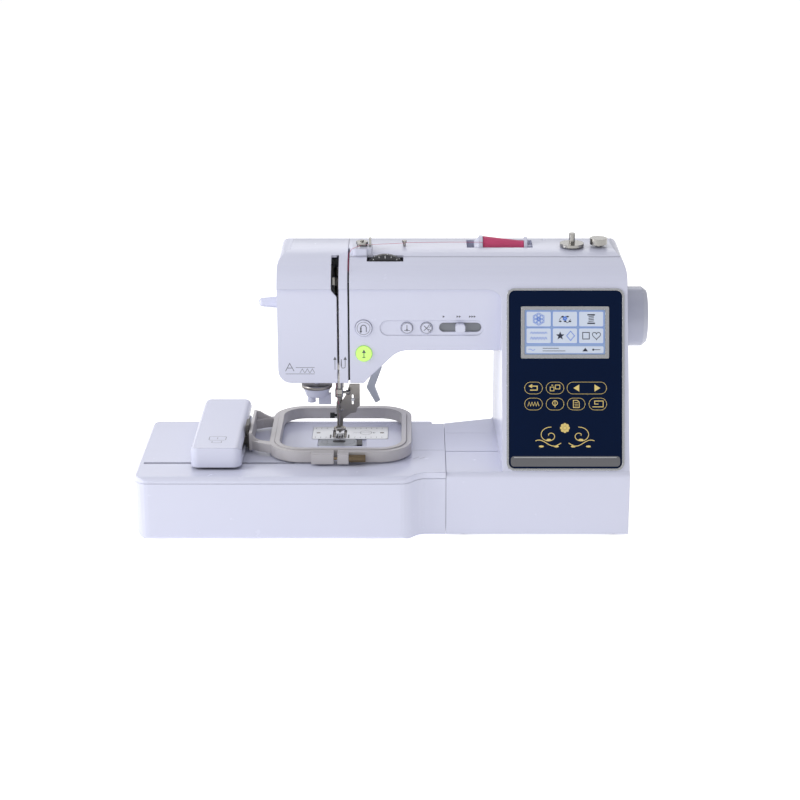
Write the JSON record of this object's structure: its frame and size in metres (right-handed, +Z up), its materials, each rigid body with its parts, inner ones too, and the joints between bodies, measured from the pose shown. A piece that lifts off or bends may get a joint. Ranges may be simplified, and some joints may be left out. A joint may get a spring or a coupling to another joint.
{
  "type": "sewing and embroidery machine",
  "caption": "Domestic sewing and embroidery machine with a slide-on embroidery unit, square hoop, sloping touch panel, arm controls, handwheel and working needle, feed and hook parts.",
  "frame": {"origin": "bottom centre of the whole object, on the surface it stands on", "axes": "+Z up, +X towards the handwheel, -Y towards the user"},
  "size_m": [0.55, 0.196, 0.305],
  "materials": {
    "body_white": "gloss",
    "base_grey": "satin",
    "frame_cast": "cast",
    "foot_rubber": "matte",
    "steel_polished": "polished",
    "steel_brushed": "brushed",
    "clear_cover": "clear",
    "panel_navy": "gloss",
    "silver_trim": "polished",
    "screen_blue": "display",
    "board_green": "solder mask",
    "motor_black": "satin",
    "belt_rubber": "matte",
    "dark_plastic": "satin",
    "bobbin_clear": "gloss",
    "lever_grey": "satin",
    "button_green": "backlit",
    "thread_pink": "wound thread",
    "carriage_grey": "satin",
    "hoop_grey": "satin",
    "bronze": "dull"
  },
  "bodies": {
    "machine": {"base_pan": "base_grey", "rubber_feet": "foot_rubber", "main_frame": "frame_cast", "front_housing": "body_white", "rear_housing": "body_white", "top_cover": "body_white", "face_cover": "body_white", "free_arm_cover": "body_white", "needle_plate": "steel_brushed", "bobbin_cover": "clear_cover", "panel_bezel": "silver_trim", "panel_glass": "panel_navy", "lcd_frame": "silver_trim", "lcd_screen": "screen_blue", "control_board": "board_green", "motor": "motor_black", "drive_belts": "belt_rubber", "bobbin_case": "dark_plastic", "guide_posts": "steel_polished", "spool_pin": "body_white", "power_inlet": "dark_plastic", "unit_case": "body_white", "unit_cover": "body_white", "unit_rods": "steel_polished"},
    "bobbin_latch": {"bobbin_latch": "dark_plastic"},
    "main_shaft": {"upper_shaft": "steel_brushed", "handwheel": "body_white"},
    "motor_pulley": {"motor_pulley": "steel_brushed"},
    "lower_shaft": {"lower_shaft": "steel_brushed"},
    "rotary_hook": {"rotary_hook": "steel_polished"},
    "bobbin": {"bobbin": "bobbin_clear"},
    "feed_bar": {"feed_bar": "steel_brushed"},
    "feed_dogs": {"feed_dogs": "steel_brushed"},
    "take_up_lever": {"take_up_lever": "steel_polished"},
    "needle_rocker": {"needle_rocker": "steel_brushed"},
    "needle_bar": {"needle_bar": "steel_polished", "needle": "steel_polished"},
    "needle_screw": {"needle_screw": "steel_polished"},
    "presser_bar": {"presser_bar": "steel_polished"},
    "embroidery_foot": {"embroidery_foot": "steel_brushed"},
    "foot_screw": {"foot_screw": "dark_plastic"},
    "presser_lever": {"presser_lever": "lever_grey"},
    "threader_lever": {"threader_lever": "body_white"},
    "threader_unit": {"threader_unit": "body_white"},
    "reverse_button": {"reverse_button": "body_white"},
    "start_button": {"start_button": "button_green"},
    "needle_button": {"needle_button": "body_white"},
    "cutter_button": {"cutter_button": "body_white"},
    "speed_slider": {"speed_slider": "body_white"},
    "tension_dial": {"tension_dial": "dark_plastic"},
    "spool_cap": {"spool_cap": "body_white"},
    "thread_spool": {"thread_spool": "thread_pink"},
    "winder_shaft": {"winder_shaft": "steel_polished"},
    "power_switch": {"power_switch": "dark_plastic"},
    "carriage": {"carriage_base": "carriage_grey", "carriage_cover": "body_white"},
    "hoop": {"hoop_holder": "carriage_grey", "hoop_outer": "hoop_grey", "hoop_inner": "hoop_grey"},
    "hoop_screw": {"hoop_screw": "bronze"}
  },
  "joints": [
    {"name": "latch_slide", "type": "slide", "parent": "machine", "child": "bobbin_latch", "axis": [1, 0, 0], "range_m": [0, 0.004]},
    {"name": "handwheel_spin", "type": "hinge", "parent": "machine", "child": "main_shaft", "pos_m": [0, 0.038, 0.211], "axis": [1, 0, 0], "continuous": true},
    {"name": "motor_spin", "type": "hinge", "parent": "machine", "child": "motor_pulley", "pos_m": [0.23, 0.005, 0.11], "axis": [1, 0, 0], "continuous": true},
    {"name": "lower_shaft_spin", "type": "hinge", "parent": "machine", "child": "lower_shaft", "pos_m": [0, 0.022, 0.033], "axis": [1, 0, 0], "continuous": true},
    {"name": "hook_spin", "type": "hinge", "parent": "machine", "child": "rotary_hook", "pos_m": [-0.061, 0.022, 0.05], "axis": [0, 0, 1], "continuous": true},
    {"name": "bobbin_spin", "type": "hinge", "parent": "machine", "child": "bobbin", "pos_m": [-0.061, 0.022, 0.06], "axis": [0, 0, 1], "continuous": true},
    {"name": "feed_advance", "type": "slide", "parent": "machine", "child": "feed_bar", "axis": [0, 1, 0], "range_m": [-0.0025, 0.0025]},
    {"name": "feed_lift", "type": "slide", "parent": "feed_bar", "child": "feed_dogs", "axis": [0, 0, 1], "range_m": [0, 0.0022]},
    {"name": "take_up_swing", "type": "hinge", "parent": "machine", "child": "take_up_lever", "pos_m": [-0.064, 0.02, 0.222], "axis": [1, 0, 0], "range_deg": [-28, 10]},
    {"name": "zigzag_swing", "type": "hinge", "parent": "machine", "child": "needle_rocker", "pos_m": [-0.069, 0.04, 0.262], "axis": [0, 1, 0], "range_deg": [-1, 1]},
    {"name": "needle_stroke", "type": "slide", "parent": "needle_rocker", "child": "needle_bar", "axis": [0, 0, 1], "range_m": [-0.03, 0]},
    {"name": "needle_screw_turn", "type": "hinge", "parent": "needle_bar", "child": "needle_screw", "pos_m": [-0.055, 0.04, 0.1225], "axis": [1, 0, 0], "continuous": true},
    {"name": "presser_lift", "type": "slide", "parent": "machine", "child": "presser_bar", "axis": [0, 0, 1], "range_m": [0, 0.006]},
    {"name": "foot_hop", "type": "slide", "parent": "presser_bar", "child": "embroidery_foot", "axis": [0, 0, 1], "range_m": [-0.0055, 0], "stiffness_N_per_m": 150, "springref_m": 0.003},
    {"name": "foot_screw_turn", "type": "hinge", "parent": "presser_bar", "child": "foot_screw", "pos_m": [-0.068, 0.051, 0.0917], "axis": [1, 0, 0], "continuous": true},
    {"name": "presser_lever_swing", "type": "hinge", "parent": "machine", "child": "presser_lever", "pos_m": [-0.022, 0.0515, 0.176], "axis": [0, -1, 0], "range_deg": [0, 60]},
    {"name": "threader_lever_slide", "type": "slide", "parent": "machine", "child": "threader_lever", "axis": [0, 0, 1], "range_m": [-0.054, 0], "stiffness_N_per_m": 20, "springref_m": 0.03},
    {"name": "threader_drop", "type": "slide", "parent": "machine", "child": "threader_unit", "axis": [0, 0, 1], "range_m": [-0.018, 0]},
    {"name": "reverse_press", "type": "slide", "parent": "machine", "child": "reverse_button", "axis": [0, 1, 0], "range_m": [0, 0.001], "stiffness_N_per_m": 400},
    {"name": "start_press", "type": "slide", "parent": "machine", "child": "start_button", "axis": [0, 1, 0], "range_m": [0, 0.001], "stiffness_N_per_m": 400},
    {"name": "needle_position_press", "type": "slide", "parent": "machine", "child": "needle_button", "axis": [0, 1, 0], "range_m": [0, 0.001], "stiffness_N_per_m": 400},
    {"name": "cutter_press", "type": "slide", "parent": "machine", "child": "cutter_button", "axis": [0, 1, 0], "range_m": [0, 0.001], "stiffness_N_per_m": 400},
    {"name": "speed_slide", "type": "slide", "parent": "machine", "child": "speed_slider", "axis": [1, 0, 0], "range_m": [-0.0155, 0.0155]},
    {"name": "tension_turn", "type": "hinge", "parent": "machine", "child": "tension_dial", "pos_m": [-0.009, 0.007, 0.262], "axis": [0, 1, 0], "range_deg": [-150, 150]},
    {"name": "spool_cap_slide", "type": "slide", "parent": "machine", "child": "spool_cap", "axis": [-1, 0, 0], "range_m": [0, 0.0075]},
    {"name": "spool_turn", "type": "hinge", "parent": "machine", "child": "thread_spool", "pos_m": [0.118, 0.047, 0.2855], "axis": [1, 0, 0], "continuous": true},
    {"name": "winder_turn", "type": "hinge", "parent": "machine", "child": "winder_shaft", "pos_m": [0.1923, 0.035, 0.29], "axis": [0, 0, 1], "continuous": true},
    {"name": "power_switch_rock", "type": "hinge", "parent": "machine", "child": "power_switch", "pos_m": [0.246, 0.059, 0.088], "axis": [0, 1, 0], "range_deg": [-6, 6]},
    {"name": "carriage_travel", "type": "slide", "parent": "machine", "child": "carriage", "axis": [1, 0, 0], "range_m": [-0.053, 0.047]},
    {"name": "hoop_travel", "type": "slide", "parent": "carriage", "child": "hoop", "axis": [0, 1, 0], "range_m": [-0.031, 0.069]},
    {"name": "hoop_screw_turn", "type": "hinge", "parent": "hoop", "child": "hoop_screw", "pos_m": [-0.04, -0.0604, 0.081], "axis": [1, 0, 0], "continuous": true}
  ],
  "couplings": [
    {"joint": "motor_spin", "follows": "handwheel_spin", "ratio": 3.4667},
    {"joint": "lower_shaft_spin", "follows": "handwheel_spin", "ratio": 1},
    {"joint": "hook_spin", "follows": "handwheel_spin", "ratio": -2},
    {"joint": "presser_lift", "follows": "presser_lever_swing", "m_per_rad": 0.005729},
    {"joint": "threader_drop", "follows": "threader_lever_slide", "ratio": 0.33333}
  ]
}
